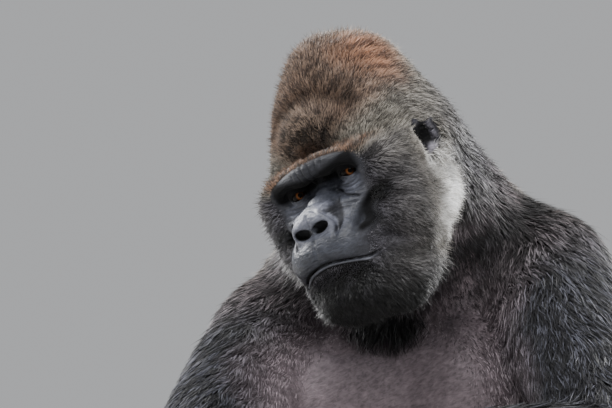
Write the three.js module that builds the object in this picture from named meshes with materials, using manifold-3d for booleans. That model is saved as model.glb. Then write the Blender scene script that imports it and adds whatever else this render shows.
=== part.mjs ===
// A seated western lowland gorilla, an adult silverback male, life size.
//
// He sits on his rump with his knees drawn up and both soles flat on the floor, his forearms
// crossed on his knees and his head turned to his right and tipped. Millimetres, +Z up, he faces -Y
// and his left is +X. The origin is the middle of the flat under the rump.
//
// Each sub-part is a smooth mass: a few eggs and tapered limbs melted into each other. A sphere or
// capsule is laid over the mass by moving every vertex outwards from a spine inside it until it
// meets the outside of the coat. A part that enters its neighbour is cut back to a thin gap from it.

import * as THREE from 'three';
import Module from 'manifold-3d';
import { mergeVertices } from 'three/addons/utils/BufferGeometryUtils.js';

// ---- Driving dimensions ----

const GAP = 0.4;                 // air left between two parts that touch

// Depth of the coat, from the skin out to the tips of the hair
const BODY_COAT = 16;
const HEAD_COAT = 14;
const FOREARM_COAT = 17;
const HAND_COAT = 3;
const FOOT_COAT = 4;

// Joints of the skeleton, as the pose holds them
const NECK = [15, 20, 740];
const HIP = [105, -70, 150];
const LEFT = {
  name: 'left', side: 1,
  shoulder: [188, -32, 744], elbow: [262, -385, 534], wrist: [-44, -393, 540],
  knee: [240, -335, 368], ankle: [215, -398, 80],
  palm: { along: [-0.86, -0.40, 0.33], up: [0.30, 0.18, 0.93], curl: 20, thumb: -1 },
  foot: { along: [0.14, -0.99, 0] },
};
const RIGHT = {
  name: 'right', side: -1,
  shoulder: [-138, -42, 660], elbow: [-264, -390, 490], wrist: [55, -582, 417],
  knee: [-250, -335, 332], ankle: [-225, -392, 80],
  palm: { along: [0.74, 0.66, -0.12], up: [0.40, -0.62, 0.68], curl: 16, thumb: 1 },
  foot: { along: [-0.16, -0.987, 0] },
};

// The head turns to his right and tips that way. It has a frame of its own: x to his left, y back,
// z up, and its origin between the ear holes.
const HEAD_TURN = { yaw: -33, pitch: 4, roll: -26.6 };
const BETWEEN_THE_EYES = [-85, -255, 866];   // in the body's frame
const EYE = { x: 39, y: -93, z: 12, radius: 12.5, width: 26, height: 15, lidDepth: 14 };
const NOSTRIL = { at: [13.5, -172, -30], radii: [10, 14, 7] };
const EAR = { x: 103, y: 2, z: 4, thick: 9, deep: 18, tall: 27, flare: 32, rim: 7 };

// Four fingers or toes stand in a row across the hand or foot, the first on its inner side. sizes
// scales each of them; splay is the angle between the outer ones and the middle, arc how far the
// row's ends lie behind its middle, and bend and curl the angles at the first and the next joints.
const DIGITS = 4;
const FINGER = {
  root: 92, spread: 76, height: 0, arc: 14, middle: -0.08, slant: 0, shift: 0,
  sizes: [0.96, 1.02, 1, 0.9], bones: [46, 34, 26], radii: [15.5, 14.5, 13, 10], splay: 7, bend: 10,
};
const THUMB = { start: [40, 42, -10], bones: [38, 30], radii: [18, 15, 11], splay: 32, bend: 12, curl: 14 };
const TOE = {
  root: 118, spread: 74, height: 16, arc: 12, middle: 0.1, slant: 4, shift: -3,
  sizes: [1.05, 1.05, 0.98, 0.88], bones: [26, 20, 16], radii: [13.5, 13, 12.5, 10], splay: 5, bend: 2,
  curl: 10,
};
const BIG_TOE = { start: [52, 46, 20], bones: [38, 30], radii: [21, 18, 14], splay: 36, bend: 2, curl: 4 };
const DIGIT_COAT = 1.5;

// ---- Smooth masses ----
// A mass is a function of a point: the distance to its surface, less than 0 inside.

const vec = (at) => new THREE.Vector3(...at);

function egg(at, radii) {
  return (p) => {
    const x = (p.x - at[0]) / radii[0];
    const y = (p.y - at[1]) / radii[1];
    const z = (p.z - at[2]) / radii[2];
    const reach = Math.hypot(x, y, z);
    return reach * (reach - 1) / (Math.hypot(x / radii[0], y / radii[1], z / radii[2]) + 1e-9);
  };
}

// A limb runs straight from one end to the other; its radii are spaced evenly along it.
function limb(from, to, radii) {
  const line = new THREE.Line3(vec(from), vec(to));
  const near = new THREE.Vector3();
  return (p) => {
    const t = line.closestPointToPointParameter(p, true);
    line.at(t, near);
    const place = t * (radii.length - 1);
    const low = Math.min(Math.floor(place), radii.length - 2);
    return near.distanceTo(p) - THREE.MathUtils.lerp(radii[low], radii[low + 1], place - low);
  };
}

function melt(a, b, width) {
  const share = THREE.MathUtils.clamp(0.5 + 0.5 * (b - a) / width, 0, 1);
  return b + (a - b) * share - width * share * (1 - share);
}

// Masses are added one after the other, each with the width of its fillet.
function body(first, ...added) {
  return (p) => added.reduce((d, [width, mass]) => melt(d, mass(p), width), first(p));
}

const hollowed = (mass, width, hollow) => (p) => -melt(-mass(p), hollow(p), width);
const coated = (mass, depth) => (p) => mass(p) - depth;

// Both sides at once: the mass is given for the left and read for either side.
function paired(mass) {
  const folded = new THREE.Vector3();
  return (p) => mass(folded.set(Math.abs(p.x), p.y, p.z));
}

// ---- Laying a geometry over a mass ----

// Closed triangles with shared vertices, as manifold-3d wants them
function welded(geometry) {
  const bare = new THREE.BufferGeometry();
  bare.setAttribute('position', geometry.getAttribute('position').clone());
  bare.setIndex(geometry.index);
  const merged = mergeVertices(bare, 1e-4);
  const index = [];
  for (let i = 0; i < merged.index.count; i += 3) {
    const [a, b, c] = [0, 1, 2].map((k) => merged.index.getX(i + k));
    if (a !== b && b !== c && c !== a) index.push(a, b, c);
  }
  merged.setIndex(index);
  return merged;
}

// Walks outwards from start until the mass ends, then halves the last step.
const WALK = { most: 400, share: 0.6, least: 0.8, halvings: 14 };

function surfaceAlong(mass, start, way) {
  const p = new THREE.Vector3();
  const at = (t) => mass(p.copy(start).addScaledVector(way, t));
  let inside = 0;
  let outside = 0;
  for (let step = 0; step < WALK.most; step++) {
    const d = at(outside);
    if (d >= 0) break;
    inside = outside;
    outside += Math.max(-WALK.share * d, WALK.least);
  }
  for (let step = 0; step < WALK.halvings; step++) {
    const middle = (inside + outside) / 2;
    if (at(middle) < 0) inside = middle;
    else outside = middle;
  }
  return p.copy(start).addScaledVector(way, outside);
}

// A sphere over the mass. Its triangles crowd together towards the way that it leans.
function laidBall(mass, centre, detail, lean = [0, 0, 0]) {
  const geometry = welded(new THREE.IcosahedronGeometry(1, detail));
  const place = geometry.getAttribute('position');
  const way = new THREE.Vector3();
  for (let i = 0; i < place.count; i++) {
    way.fromBufferAttribute(place, i).normalize().add(vec(lean)).normalize();
    place.setXYZ(i, ...surfaceAlong(mass, vec(centre), way));
  }
  return geometry;
}

// A capsule over the mass, along a curve inside it. up turns the seam of the capsule.
function laidAlong(mass, curve, { around, along, cap = 3, up = [0, 0, 1] }) {
  const geometry = welded(new THREE.CapsuleGeometry(1, 1, cap, around, along));
  const place = geometry.getAttribute('position');
  const v = new THREE.Vector3();
  for (let i = 0; i < place.count; i++) {
    v.fromBufferAttribute(place, i);
    const t = THREE.MathUtils.clamp(v.y + 0.5, 0, 1);
    const tangent = curve.getTangent(t);
    const across = new THREE.Vector3().crossVectors(vec(up), tangent).normalize();
    const third = new THREE.Vector3().crossVectors(across, tangent);
    const way = third.multiplyScalar(v.z).addScaledVector(across, v.x);
    way.addScaledVector(tangent, v.y + 0.5 - t).normalize();
    place.setXYZ(i, ...surfaceAlong(mass, curve.getPoint(t), way));
  }
  return geometry;
}

const straight = (from, to) => new THREE.LineCurve3(vec(from), vec(to));

// ---- Joining and cutting ----

const wasm = await Module();
wasm.setup();

function solid(geometry) {
  const vertProperties = new Float32Array(geometry.getAttribute('position').array);
  const triVerts = new Uint32Array(geometry.index.array);
  return new wasm.Manifold(new wasm.Mesh({ numProp: 3, vertProperties, triVerts }));
}

const joined = (solids) => solids.reduce((all, one) => all.add(one));

// All that lies beyond a plane, as one large block
function beyond(point, normal) {
  const size = 3000;
  const block = new THREE.BoxGeometry(size, size, size);
  block.translate(0, 0, size / 2);
  const turn = new THREE.Quaternion().setFromUnitVectors(vec([0, 0, 1]), vec(normal).normalize());
  block.applyQuaternion(turn);
  block.translate(...point);
  return solid(welded(block));
}

const belowFloor = beyond([0, 0, 0], [0, 0, -1]);

// ---- The finished nodes ----

const gorilla = new THREE.Group();

function finish(color, roughness) {
  return new THREE.MeshStandardMaterial({ color, roughness, metalness: 0 });
}

function node(name, shape, material) {
  const { vertProperties, triVerts, numProp } = shape.getMesh();
  const geometry = new THREE.BufferGeometry();
  const corners = new Float32Array(vertProperties.length / numProp * 3);
  for (let i = 0; i < corners.length / 3; i++) {
    for (let k = 0; k < 3; k++) corners[3 * i + k] = vertProperties[numProp * i + k];
  }
  geometry.setAttribute('position', new THREE.BufferAttribute(corners, 3));
  geometry.setIndex(new THREE.BufferAttribute(triVerts, 1));
  geometry.computeVertexNormals();
  const mesh = new THREE.Mesh(geometry, material);
  mesh.name = name;
  gorilla.add(mesh);
}

// ---- Head ----

const radians = THREE.MathUtils.degToRad;
const headTurn = new THREE.Matrix4().makeRotationY(radians(HEAD_TURN.roll))
  .multiply(new THREE.Matrix4().makeRotationZ(radians(HEAD_TURN.yaw)))
  .multiply(new THREE.Matrix4().makeRotationX(radians(HEAD_TURN.pitch)));
const headMiddle = vec(BETWEEN_THE_EYES)
  .sub(vec([0, EYE.y - 2, EYE.z]).applyMatrix4(headTurn));
const headFrame = headTurn.clone().setPosition(headMiddle);
const toHead = headFrame.clone().invert();
const fromHead = (at) => vec(at).applyMatrix4(headFrame).toArray();

const headSkin = hollowed(
  body(
    egg([0, 6, 40], [76, 84, 74]),                                                 // brain case
    [10, egg([0, -58, -40], [46, 50, 66])],                                        // palate, throat
    [30, egg([0, 28, 81], [46, 82, 80])],                                          // crest pad
    [30, paired(egg([31, 18, 50], [45, 74, 72]))],                                 // temporal muscle
    [20, paired(egg([26, 56, 92], [44, 48, 52]))],                                 // back of the crest
    [26, paired(egg([41, -44, 34], [38, 46, 34]))],                                // temple
    [22, egg([0, -46, 62], [46, 36, 32])],                                         // forehead
    [30, paired(egg([55, -68, -46], [42, 54, 58]))],                               // jaw muscle
    [24, egg([0, -114, -58], [60, 62, 42])],                                       // muzzle
    [14, egg([0, -140, -58], [60, 45, 27])],                                       // upper lip
    [12, paired(egg([23, -140, -66], [34, 41, 26]))],                              // lip pads
    [12, paired(egg([34, -126, -86], [28, 38, 24]))],                              // mouth corners
    [10, paired(egg([8, -123, -107], [50, 55, 42]))],                              // chin
    [25, paired(limb([46, -46, -96], [28, -105, -118], [30, 35]))],                // lower jaw
    [18, paired(egg([66, 0, -57], [24, 36, 34]))],                                 // ruff below the ear
    [24, paired(limb([72, -84, 8], [80, -30, 0], [20, 20]))],                      // cheekbone
    [16, paired(limb([62, -84, -10], [30, -106, -30], [15, 16]))],                 // cheek
    [14, paired(limb([56, -98, -26], [28, -122, -32], [15, 19]))],                 // beside the nose
    [12, paired(limb([0, -107, 34], [60, -95, 24], [14, 13]))],                    // brow ridge
    [14, limb([0, -102, 12], [0, -144, -18], [11, 15, 18])],                       // nose bridge
    [8, paired(egg([17, -149, -26], [19, 24, 20]))],                               // nose wings
    [8, egg([0, -160, -22], [14, 11, 13])],                                        // nose tip
  ),
  8, paired(egg([EYE.x, -118, 10], [22, 24, 11])),                                 // eye sockets
);
const lid = EYE.radius + 1;
const lids = paired(egg([EYE.x, EYE.y, EYE.z], [lid, lid, lid]));
const headBare = (p) => melt(headSkin(p), lids(p), 2);

// The face is bare: no coat from the brow to the chin, and full coat round it.
const ramp = (value) => THREE.MathUtils.clamp(value, 0, 1);

function headOutside(p) {
  const q = p.clone().applyMatrix4(toHead);
  const out = Math.abs(q.x);
  const hairline = 62 - 14 * (out / 60) ** 2;
  const bare = ramp((-q.y - 50) / 40) * ramp((92 - out) / 30)
    * ramp((hairline - q.z) / 26) * ramp((q.z + 150) / 60);
  return headBare(q) - HEAD_COAT * (1 - bare);
}

const HEAD_DETAIL = 9;
const HEAD_SPINE = [0, -66, -22];            // the point that the head's rays start from

// Its triangles are smallest on the face.
const towardsFace = vec([0, -1, -0.15]).transformDirection(headTurn).multiplyScalar(0.45).toArray();
const headShape = (extra) => solid(laidBall((p) => headOutside(p) - extra,
  fromHead(HEAD_SPINE), HEAD_DETAIL, towardsFace));

// ---- Neck and trunk ----

const trunkSkin = body(
  egg([5, 25, 575], [200, 185, 225]),                                              // rib cage
  [60, egg([0, -55, 345], [225, 210, 215])],                                       // belly
  [60, egg([0, 0, 170], [195, 160, 180])],                                         // rump
  [36, egg([85, -122, 610], [90, 65, 85])],                                        // left breast
  [36, egg([-72, -122, 600], [85, 65, 80])],                                       // right breast
  [50, egg([5, 55, 690], [165, 120, 125])],                                        // shoulder hump
  [40, egg([98, 150, 650], [60, 44, 88])],                                         // left shoulder blade
  [40, egg([-88, 150, 605], [60, 44, 88])],                                        // right shoulder blade
  [50, limb([95, 75, 560], [168, -8, 690], [60, 78])],                             // left flank to arm
  [50, limb([-80, 75, 510], [-132, -20, 610], [60, 74])],                          // right flank to arm
  [40, limb(NECK, fromHead([0, 60, 0]), [120, 84])],                               // neck
  [45, limb(fromHead([15, 60, 60]), [132, 12, 758], [50, 80])],                    // nape, left
  [45, limb(fromHead([-15, 60, 40]), [-90, 0, 680], [48, 64])],                    // nape, right
  [45, limb([40, 15, 750], LEFT.shoulder, [85, 76])],                              // left collar
  [45, limb([-15, 0, 720], RIGHT.shoulder, [85, 74])],                             // right collar
);

const NECK_CUT = { at: [8, -25, 805], normal: [-0.17, -0.60, 0.78] };
const trunkSpine = straight([0, 5, 170], [5, 30, 650]);
const trunkShape = (extra) => solid(laidAlong(coated(trunkSkin, BODY_COAT + extra), trunkSpine,
  { around: 22, along: 9, cap: 4, up: [0, 1, 0] }));

// ---- Limbs ----

const upperArmSkin = (arm) => limb(arm.shoulder, arm.elbow, [76, 77, 68, 58, 54]);
const forearmSkin = (arm) => limb(arm.elbow, arm.wrist, [54, 62, 55, 44, 35]);
const hipOf = (leg) => [HIP[0] * leg.side, HIP[1], HIP[2]];
const thighSkin = (leg) => limb(hipOf(leg), leg.knee, [125, 118, 98, 82, 70]);
const shankSkin = (leg) => limb(leg.knee, leg.ankle, [68, 70, 60, 46, 42]);

// The two sides of the cut through a joint, square to the bend, with the gap shared between them
function jointCut(before, joint, after) {
  const normal = vec(joint).sub(vec(before)).normalize()
    .add(vec(after).sub(vec(joint)).normalize()).normalize();
  const at = (offset) => vec(joint).addScaledVector(normal, offset).toArray();
  return {
    after: beyond(at(-GAP / 2), normal.toArray()),
    before: beyond(at(GAP / 2), normal.clone().negate().toArray()),
  };
}

// ---- Hands ----

// Frame of a hand or foot: x along it, y across it towards its inner side, z up out of its back
function limbFrame(origin, along, up, inner) {
  const a = vec(along).normalize();
  const c = new THREE.Vector3().crossVectors(vec(up), a).normalize().multiplyScalar(inner);
  const u = new THREE.Vector3().crossVectors(c, a).multiplyScalar(-inner);
  const at = (x, y, z) => vec(origin).addScaledVector(a, x).addScaledVector(c, y)
    .addScaledVector(u, z).toArray();
  return { at };
}

// The joints of one finger or toe, bending down by the same angle at each
function digit(at, { start, bones, splay, bend, curl }) {
  const points = [start];
  let down = radians(bend);
  let [x, y, z] = start;
  for (const bone of bones) {
    x += bone * Math.cos(down) * Math.cos(radians(splay));
    y += bone * Math.cos(down) * Math.sin(radians(splay));
    z -= bone * Math.sin(down);
    points.push([x, y, z]);
    down += radians(curl);
  }
  return points.map((point) => at(...point));
}

// One digit of a row, from -0.5 on the outer side to 0.5 on the inner side
function inRow(row, i, curl) {
  const off = ((DIGITS - 1) / 2 - i) / (DIGITS - 1);
  const size = row.sizes[i];
  const back = row.arc * Math.abs(off - row.middle) + row.slant * i;
  return {
    start: [row.root - back, row.spread * off + row.shift, row.height],
    bones: row.bones.map((bone) => bone * size),
    radii: row.radii.map((radius) => radius * size),
    splay: row.splay * off, bend: row.bend, curl,
  };
}

// A finger is three short limbs end to end.
function digitMass(points, radii) {
  const lengths = points.slice(1).map((point, i) => limb(points[i], point, radii.slice(i, i + 2)));
  return (p) => Math.min(...lengths.map((length) => length(p)));
}

const STEEP = 0.8;                           // rise of a digit too steep to be laid with +Z as up

function digitSolid(at, shape, along) {
  const points = digit(at, shape);
  const curve = new THREE.CatmullRomCurve3(points.map(vec), false, 'centripetal');
  const mass = coated(digitMass(points, shape.radii), DIGIT_COAT);
  const away = vec(points[1]).sub(vec(points[0]));
  const up = Math.abs(away.z) > STEEP * away.length() ? [0, 1, 0] : [0, 0, 1];
  return solid(laidAlong(mass, curve, { around: 6, along, cap: 2, up }));
}

function handSolids(arm) {
  const { along, up, curl, thumb } = arm.palm;
  const { at } = limbFrame(arm.wrist, along, up, thumb);
  const palm = body(
    limb(at(-10, 0, 0), at(20, 0, 0), [33, 34]),                                   // wrist
    [16, limb(at(30, 24, -1), at(88, 26, -2), [24, 21])],                          // inner edge
    [16, limb(at(30, -24, -1), at(82, -32, -2), [24, 19])],                        // outer edge
    [14, limb(at(34, 0, 3), at(92, -2, 2), [24, 22])],                             // back of the hand
    [14, limb(at(12, 24, -6), at(48, 44, -12), [24, 19])],                         // ball of the thumb
  );
  const pieces = [solid(laidBall(coated(palm, HAND_COAT), at(45, 0, -1), 2))];
  for (let i = 0; i < DIGITS; i++) pieces.push(digitSolid(at, inRow(FINGER, i, curl), 3));
  pieces.push(digitSolid(at, THUMB, 3));
  return { shape: joined(pieces), knuckle: at(FINGER.root, 0, 0) };
}

// ---- Feet ----

function footSolids(leg) {
  const under = [leg.ankle[0], leg.ankle[1], 0];
  const { at } = limbFrame(under, leg.foot.along, [0, 0, 1], -leg.side);
  const sole = body(
    limb(at(0, 0, 84), at(22, 0, 50), [43, 40]),                                   // ankle
    [20, egg(at(-30, 0, 36), [38, 46, 40])],                                       // heel
    [20, limb(at(20, 2, 46), at(100, 0, 22), [40, 30])],                           // instep
    [16, limb(at(20, -22, 22), at(112, -28, 17), [26, 20])],                       // outer edge
    [16, limb(at(40, 18, 24), at(112, 22, 19), [26, 21])],                         // ball
    [14, limb(at(24, 26, 24), at(60, 50, 20), [26, 21])],                          // root of big toe
  );
  const pieces = [solid(laidBall(coated(sole, FOOT_COAT), at(40, 2, 34), 3))];
  for (let i = 0; i < DIGITS; i++) pieces.push(digitSolid(at, inRow(TOE, i, TOE.curl), 2));
  pieces.push(digitSolid(at, BIG_TOE, 2));
  return { shape: joined(pieces).subtract(belowFloor), under };
}

// ---- Putting him together ----

const coat = finish('#2c2826', 0.9);
const greyCoat = finish('#5a5652', 0.9);
const bareSkin = finish('#232128', 0.6);
const iris = finish('#5a3112', 0.15);

const placedInHead = (geometry) => solid(welded(geometry.applyMatrix4(headFrame)));

// Eyes, each in a socket that opens between the lids, and the nostrils
let head = headShape(0);
for (const side of [1, -1]) {
  const egg3 = (at, radii, around, up) => placedInHead(new THREE.SphereGeometry(1, around, up)
    .scale(...radii).translate(side * at[0], at[1], at[2]));
  const ball = new THREE.IcosahedronGeometry(EYE.radius, 2).translate(side * EYE.x, EYE.y, EYE.z);
  node(`eye_${side > 0 ? 'left' : 'right'}`, placedInHead(ball), iris);
  const room = EYE.radius + 1;
  const socket = egg3([EYE.x, EYE.y, EYE.z], [room, room, room], 10, 7);
  const slit = egg3([EYE.x, EYE.y - EYE.radius, EYE.z], [EYE.width / 2, EYE.lidDepth, EYE.height / 2],
    8, 6);
  const nostril = egg3(NOSTRIL.at, NOSTRIL.radii, 8, 5);
  head = head.subtract(socket).subtract(slit).subtract(nostril);
}
node('head', head, greyCoat);
const headRoom = headShape(GAP);

// Ears, each a flared cup. The room round them is kept free of the neck.
function earShape(side, extra) {
  const shell = egg([0, 0, 0], [EAR.thick + extra, EAR.deep + extra, EAR.tall + extra]);
  const cup = egg([8, -2, 1], [8, EAR.deep - EAR.rim, EAR.tall - EAR.rim - 1]);
  const mass = extra ? shell : hollowed(shell, 3, cup);
  const ear = laidBall(mass, [-5, 0, 0], 2);
  ear.rotateZ(radians(-EAR.flare));
  ear.translate(EAR.x, EAR.y, EAR.z);
  if (side < 0) {
    ear.scale(-1, 1, 1);
    for (let i = 0; i < ear.index.count; i += 3) {
      const second = ear.index.getX(i + 1);
      ear.index.setX(i + 1, ear.index.getX(i + 2));
      ear.index.setX(i + 2, second);
    }
  }
  return placedInHead(ear);
}
const earRoom = earShape(1, 3).add(earShape(-1, 3));
node('ear_left', earShape(1, 0).subtract(headRoom), bareSkin);
node('ear_right', earShape(-1, 0).subtract(headRoom), bareSkin);

const neckBlock = beyond(NECK_CUT.at, NECK_CUT.normal);
const neckBase = vec(NECK_CUT.normal).normalize().multiplyScalar(GAP).add(vec(NECK_CUT.at));
const underNeck = beyond(neckBase.toArray(), NECK_CUT.normal.map((part) => -part));
const neckSpine = straight([22, 55, 690], fromHead([0, 40, 10]));
const neckShape = (extra) => solid(laidAlong(coated(trunkSkin, BODY_COAT + extra), neckSpine,
  { around: 18, along: 6, cap: 2, up: [0, 1, 0] })).subtract(underNeck);
node('neck', neckShape(0).subtract(headRoom).subtract(earRoom), coat);

node('trunk', trunkShape(0).subtract(neckBlock).subtract(headRoom).subtract(belowFloor), coat);
const trunkRoom = trunkShape(GAP).add(neckShape(GAP));

const forearmShape = (arm, extra) => solid(laidAlong(
  coated(forearmSkin(arm), FOREARM_COAT + extra), straight(arm.elbow, arm.wrist),
  { around: 12, along: 6, cap: 3 }));

// The left hand lies on the right forearm, pressed a little into its coat.
const handRest = { left: forearmShape(RIGHT, GAP), right: belowFloor };

for (const side of [LEFT, RIGHT]) {
  const hand = handSolids(side);
  const elbow = jointCut(side.shoulder, side.elbow, side.wrist);
  const wrist = jointCut(side.elbow, side.wrist, hand.knuckle);
  const upperArm = solid(laidAlong(coated(upperArmSkin(side), BODY_COAT),
    straight(side.shoulder, side.elbow), { around: 12, along: 5, cap: 3 }));
  node(`upper_arm_${side.name}`, upperArm.subtract(elbow.after).subtract(trunkRoom), coat);
  node(`forearm_${side.name}`, forearmShape(side, 0)
    .subtract(elbow.before).subtract(wrist.after), coat);
  node(`hand_${side.name}`, hand.shape.subtract(wrist.before)
    .subtract(handRest[side.name]), bareSkin);

  const foot = footSolids(side);
  const knee = jointCut(hipOf(side), side.knee, side.ankle);
  const ankle = jointCut(side.knee, side.ankle, foot.under);
  const thigh = solid(laidAlong(coated(thighSkin(side), BODY_COAT),
    straight(hipOf(side), side.knee), { around: 12, along: 5, cap: 2 }));
  const shank = solid(laidAlong(coated(shankSkin(side), BODY_COAT),
    straight(side.knee, side.ankle), { around: 12, along: 5, cap: 2, up: [0, 1, 0] }));
  node(`thigh_${side.name}`, thigh.subtract(knee.after).subtract(trunkRoom)
    .subtract(belowFloor), coat);
  node(`shank_${side.name}`, shank.subtract(knee.before).subtract(ankle.after), coat);
  node(`foot_${side.name}`, foot.shape.subtract(ankle.before), bareSkin);
}

export default gorilla;
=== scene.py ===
import math

import bpy
import numpy as np
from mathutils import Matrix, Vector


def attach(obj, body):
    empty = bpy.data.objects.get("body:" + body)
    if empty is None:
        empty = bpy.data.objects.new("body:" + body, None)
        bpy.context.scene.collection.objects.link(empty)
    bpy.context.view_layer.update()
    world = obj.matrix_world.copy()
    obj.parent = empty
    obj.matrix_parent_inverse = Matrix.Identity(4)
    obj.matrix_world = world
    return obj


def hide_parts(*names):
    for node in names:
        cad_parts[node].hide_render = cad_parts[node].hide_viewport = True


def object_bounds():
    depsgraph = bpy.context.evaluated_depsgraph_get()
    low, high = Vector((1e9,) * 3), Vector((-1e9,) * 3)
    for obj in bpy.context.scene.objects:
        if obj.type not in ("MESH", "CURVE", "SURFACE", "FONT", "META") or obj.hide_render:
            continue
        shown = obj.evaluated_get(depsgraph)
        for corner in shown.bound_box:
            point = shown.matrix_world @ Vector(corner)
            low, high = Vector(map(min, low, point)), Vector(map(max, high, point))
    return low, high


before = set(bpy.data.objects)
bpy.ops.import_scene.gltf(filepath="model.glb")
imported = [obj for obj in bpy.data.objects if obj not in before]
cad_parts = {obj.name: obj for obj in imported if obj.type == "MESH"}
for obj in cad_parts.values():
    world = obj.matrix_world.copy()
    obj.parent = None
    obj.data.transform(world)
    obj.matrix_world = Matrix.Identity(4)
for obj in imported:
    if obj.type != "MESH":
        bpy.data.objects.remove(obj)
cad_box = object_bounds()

import openvdb
from mathutils import Matrix, Vector

# ---- Skin ----
# The gorilla's hide is one unbroken sheet from the crown to the soles, bare and leathery on the
# face, ears, chest, palms and soles. Here it is masses of bone and muscle melted together, netted
# into triangles that are smallest on the face, and then creased where the real hide folds.

MM = 0.001  # the masses are in millimetres, the meshes in metres
FLESH = ("head", "neck", "trunk", "ear_left", "ear_right",
         "upper_arm_left", "upper_arm_right", "forearm_left", "forearm_right",
         "hand_left", "hand_right", "thigh_left", "thigh_right",
         "shank_left", "shank_right", "foot_left", "foot_right")


def length(v):
    return np.sqrt(np.einsum("ij,ij->i", v, v))


def egg(p, at, radii):
    q = (p - np.float32(at)) / np.float32(radii)
    reach = length(q)
    return reach * (reach - 1) / (length(q / np.float32(radii)) + 1e-6)


def limb(p, start, end, radii):
    start, end = np.float32(start), np.float32(end)
    line = end - start
    t = np.clip((p - start) @ line / (line @ line), 0, 1)
    radius = np.interp(t, np.linspace(0, 1, len(radii)), radii)
    return length(p - start - t[:, None] * line) - radius


def melt(a, b, width):
    share = np.clip(0.5 + 0.5 * (b - a) / width, 0, 1)
    return b + (a - b) * share - width * share * (1 - share)


def ramp(value):
    return np.clip(value, 0, 1)


# Far from a part only a rough distance to it is needed.
def nearby(p, centre, reach, mass):
    away = length(p - np.float32(centre)) - reach
    d = away + 40
    close = away < 0
    if close.any():
        d[close] = mass(p[close])
    return d


def turn(axis, degrees):
    return np.array(Matrix.Rotation(math.radians(degrees), 3, axis))


# The head has a frame of its own: x to his left, y back, z up, its origin between the ear holes.
HEAD_TURN = turn("Y", -26.6) @ turn("Z", -33) @ turn("X", 4)
BETWEEN_THE_EYES = np.array([-85, -255, 866])
EYE = np.array([39, -93, 12])
EYE_RADIUS = 12.5
HEAD_MIDDLE = BETWEEN_THE_EYES - HEAD_TURN @ np.array([0, EYE[1] - 2, EYE[2]])


def to_head(p):
    return ((p - HEAD_MIDDLE) @ HEAD_TURN).astype(np.float32)


def from_head(q):
    return HEAD_TURN @ np.array(q) + HEAD_MIDDLE


def mirrored(q):
    return np.stack([np.abs(q[:, 0]), q[:, 1], q[:, 2]], 1)


LID = 1.4  # thickness of the lids
NOSTRIL = (13.5, -172, -28)
NOSTRIL_TILT = turn("Y", -8)


def nostril(m):
    return egg((m - np.float32(NOSTRIL)) @ NOSTRIL_TILT, (0, 0, 0), (12, 16, 6.4))


# The opening between the lids lies a little to his left of each eye's middle, where he looks.
def eyelids(q, m):
    """Less than 0 in the opening between the lids."""
    out = np.where(q[:, 0] > 0, (m[:, 0] - EYE[0] - 4.4) / 10.6, (m[:, 0] - EYE[0] + 2.5) / 10.6)
    up = m[:, 2] - EYE[2] + 1.6 * out
    top = 4.4 * (1 - out ** 2) - 0.6
    bottom = -5.2 * (1 - out ** 2) + 0.3
    return np.maximum(np.maximum(up - top, bottom - up), m[:, 1] - EYE[1] + 3)


def above_mouth(m):
    """How far a point is above the line between the lips."""
    return m[:, 2] + 70.5 + 15 * ramp(m[:, 0] / 48) ** 2


def head_mass(q):
    m = mirrored(q)
    d = egg(q, (0, 6, 40), (76, 84, 74))  # brain case
    d = melt(d, egg(q, (0, -58, -40), (46, 50, 66)), 10)  # palate and throat
    d = melt(d, egg(q, (0, 28, 81), (46, 82, 80)), 30)  # crest pad
    d = melt(d, egg(m, (31, 18, 50), (45, 74, 72)), 30)  # temporal muscle
    d = melt(d, egg(m, (26, 56, 92), (44, 48, 52)), 20)  # back of the crest
    d = melt(d, egg(m, (41, -44, 34), (38, 46, 34)), 26)  # temple
    d = melt(d, egg(q, (0, -48, 68), (46, 36, 34)), 18)  # forehead
    d = melt(d, egg(m, (55, -68, -46), (42, 54, 58)), 30)  # jaw muscle
    d = melt(d, egg(q, (0, -114, -58), (60, 62, 42)), 24)  # muzzle
    d = melt(d, egg(q, (0, -140, -58), (60, 45, 27)), 14)  # upper lip
    d = melt(d, egg(m, (23, -140, -66), (34, 41, 26)), 12)  # lip pads
    d = melt(d, egg(m, (34, -126, -86), (28, 38, 24)), 12)  # mouth corners
    d = melt(d, egg(m, (8, -123, -107), (50, 55, 42)), 10)  # chin
    d = melt(d, limb(m, (46, -46, -96), (28, -105, -118), (30, 35)), 25)  # lower jaw
    d = melt(d, egg(m, (66, 0, -57), (24, 36, 34)), 18)  # ruff below the ear
    d = melt(d, limb(m, (72, -84, 8), (80, -30, 0), (20, 20)), 24)  # cheekbone
    d = melt(d, limb(m, (62, -84, -10), (30, -106, -30), (15, 16)), 16)  # cheek
    d = melt(d, limb(m, (56, -98, -26), (28, -122, -32), (15, 19)), 14)  # beside the nose
    d = melt(d, limb(m, (0, -108, 35), (60, -97, 25), (14, 13)), 11)  # brow ridge
    d = melt(d, limb(q, (0, -98, 2), (0, -144, -18), (11, 15, 18)), 14)  # nose bridge
    d = melt(d, egg(m, (17, -149, -26), (18, 24, 20)), 8)  # nose wings
    d = melt(d, egg(q, (0, -159, -22), (14, 11, 13)), 12)  # nose tip
    d = -melt(-d, egg(m, (EYE[0] - 1, -120, 11), (23, 26, 11)), 7)  # eye sockets
    d = -melt(-d, egg(q, (0, -126, 14), (26, 20, 7)), 9)  # root of the nose
    d = melt(d, egg(m, (EYE[0], -97, -2), (19, 9, 7)), 5)  # bags under the eyes
    d = melt(d, egg(m, EYE, (EYE_RADIUS + LID,) * 3), 2)  # lids
    d = -melt(-d, eyelids(q, m), 1)
    d = -melt(-d, nostril(m), 4)
    return d + 6 * np.exp(-(above_mouth(m) / 1.4) ** 2) * ramp((-q[:, 1] - 130) / 10)


EAR = np.array([103, 2, 4])
EAR_FLARE = turn("Z", -32)


def in_ear(q):
    return (mirrored(q) - EAR) @ EAR_FLARE


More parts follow.
